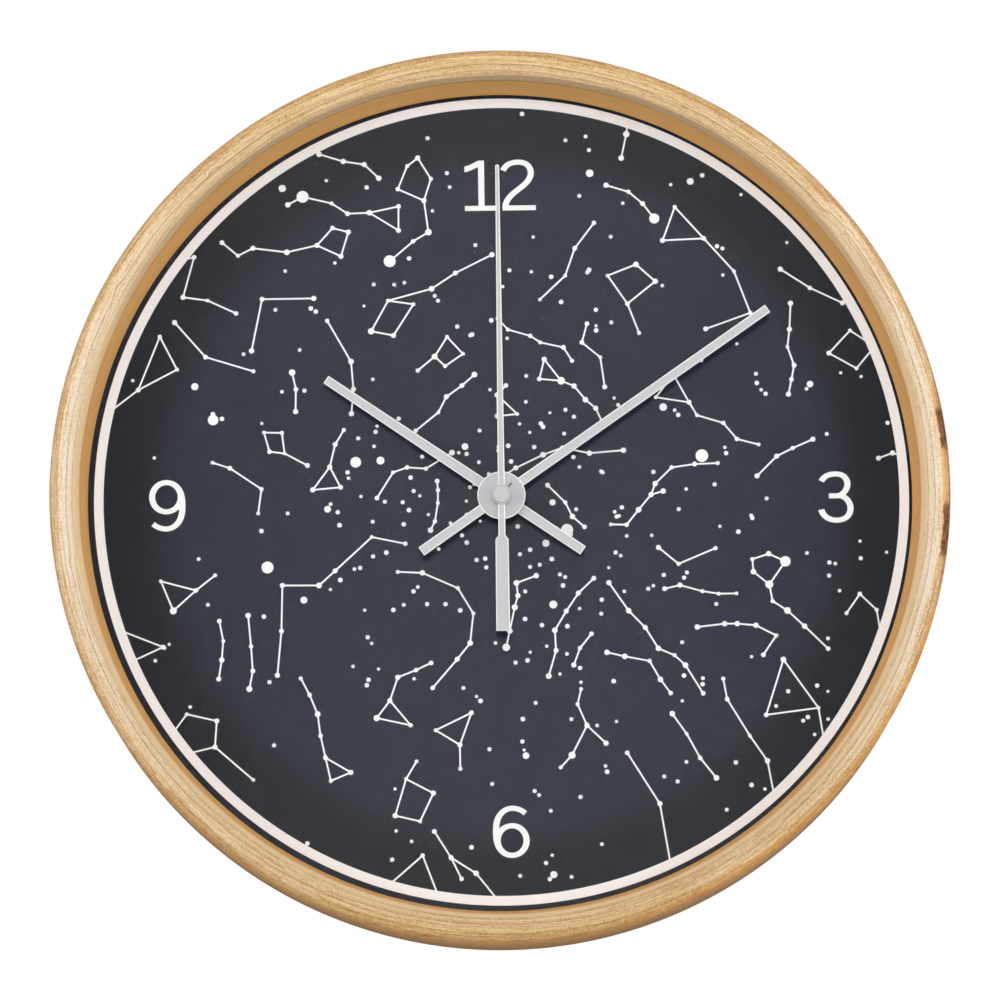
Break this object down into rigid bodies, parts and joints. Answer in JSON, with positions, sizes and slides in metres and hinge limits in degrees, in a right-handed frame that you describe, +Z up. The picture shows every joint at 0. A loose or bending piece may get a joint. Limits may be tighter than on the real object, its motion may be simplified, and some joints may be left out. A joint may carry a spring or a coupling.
{
  "type": "wall clock",
  "caption": "Round wall clock with a bentwood hoop, flat lens, dark printed dial, three hands and a quartz movement that hangs on a wall screw.",
  "frame": {"origin": "middle of the hanger's round keyhole, on the rear face of its tab", "axes": "+Z up with 12 at the top, +Y from the viewer towards the wall, +X to the viewer's right"},
  "size_m": [0.3, 0.04, 0.3],
  "materials": {
    "bentwood": "clear satin lacquer over light laminated wood",
    "inner_ring": "darker satin wood",
    "clear_lens": "clear",
    "navy_dial": "matt dark navy print",
    "white_print": "matt white ink",
    "board": "raw pressed fibre board",
    "clip_steel": "zinc plated",
    "case_plastic": "fine spark texture",
    "knob_plastic": "satin",
    "train_plastic": "natural moulded",
    "brass": "turned",
    "washer_rubber": "matt",
    "arbor_steel": "drawn wire",
    "magnet": "sintered",
    "stator_iron": "annealed sheet",
    "bobbin_plastic": "moulded",
    "copper_wire": "enamelled copper",
    "circuit_green": "solder mask",
    "crystal_can": "drawn can",
    "chip_resin": "cured resin",
    "contact_steel": "nickel plated",
    "cell_steel": "nickel plated",
    "cell_wrap": "shrunk film, plain",
    "hand_silver": "flat silver grey paint"
  },
  "bodies": {
    "clock": {"wood_frame": "bentwood", "lens": "clear_lens", "spacer_ring": "inner_ring", "dial_plate": "navy_dial", "dial_ring": "white_print", "dial_numerals": "white_print", "back_board": "board", "board_clips": "clip_steel", "clip_screws": "clip_steel", "movement_case": "case_plastic", "movement_cover": "case_plastic", "middle_plate": "train_plastic", "threaded_bush": "brass", "rubber_washer": "washer_rubber", "brass_washer": "brass", "hex_nut": "brass", "stator_plate": "stator_iron", "coil_core": "stator_iron", "coil_bobbin": "bobbin_plastic", "coil_winding": "copper_wire", "circuit_board": "circuit_green", "quartz_crystal": "crystal_can", "chip": "chip_resin", "positive_contact": "contact_steel", "negative_contact": "contact_steel"},
    "minutes": {"minute_hand": "hand_silver", "minute_tube": "brass"},
    "hours": {"hour_hand": "hand_silver", "hour_wheel": "train_plastic"},
    "motion_work": {"minute_wheel": "train_plastic", "setting_knob": "knob_plastic"},
    "seconds": {"seconds_hand": "hand_silver", "seconds_cap": "hand_silver", "seconds_arbor": "arbor_steel", "seconds_wheel": "train_plastic"},
    "third": {"third_wheel": "train_plastic"},
    "centre": {"centre_wheel": "train_plastic"},
    "intermediate": {"intermediate_wheel": "train_plastic"},
    "rotor": {"rotor_magnet": "magnet", "rotor_pinion": "train_plastic"},
    "cell": {"battery_cell": "cell_steel", "battery_sleeve": "cell_wrap"}
  },
  "joints": [
    {"name": "minutes_turn", "type": "hinge", "parent": "clock", "child": "minutes", "pos_m": [0, 0, -0.0345], "axis": [0, 1, 0], "continuous": true},
    {"name": "hours_turn", "type": "hinge", "parent": "clock", "child": "hours", "pos_m": [0, 0, -0.0345], "axis": [0, 1, 0], "continuous": true},
    {"name": "motion_work_turn", "type": "hinge", "parent": "clock", "child": "motion_work", "pos_m": [0.00869, 0, -0.03683], "axis": [0, 1, 0], "continuous": true},
    {"name": "seconds_turn", "type": "hinge", "parent": "clock", "child": "seconds", "pos_m": [0, 0, -0.0345], "axis": [0, 1, 0], "continuous": true},
    {"name": "third_turn", "type": "hinge", "parent": "clock", "child": "third", "pos_m": [-0.00624, 0, -0.0309], "axis": [0, 1, 0], "continuous": true},
    {"name": "centre_turn", "type": "hinge", "parent": "clock", "child": "centre", "pos_m": [0, 0, -0.0345], "axis": [0, 1, 0], "continuous": true},
    {"name": "intermediate_turn", "type": "hinge", "parent": "clock", "child": "intermediate", "pos_m": [0.0035, 0, -0.02844], "axis": [0, 1, 0], "continuous": true},
    {"name": "rotor_turn", "type": "hinge", "parent": "clock", "child": "rotor", "pos_m": [0.00841, 0, -0.025], "axis": [0, 1, 0], "continuous": true},
    {"name": "cell_slide", "type": "slide", "parent": "clock", "child": "cell", "axis": [0, 1, 0], "range_m": [0, 0.03]}
  ],
  "couplings": [
    {"joint": "hours_turn", "follows": "minutes_turn", "ratio": 0.083333},
    {"joint": "motion_work_turn", "follows": "minutes_turn", "ratio": -0.33333},
    {"joint": "third_turn", "follows": "seconds_turn", "ratio": -0.13333},
    {"joint": "centre_turn", "follows": "seconds_turn", "ratio": 0.016667},
    {"joint": "intermediate_turn", "follows": "seconds_turn", "ratio": -6},
    {"joint": "rotor_turn", "follows": "seconds_turn", "ratio": 30}
  ]
}
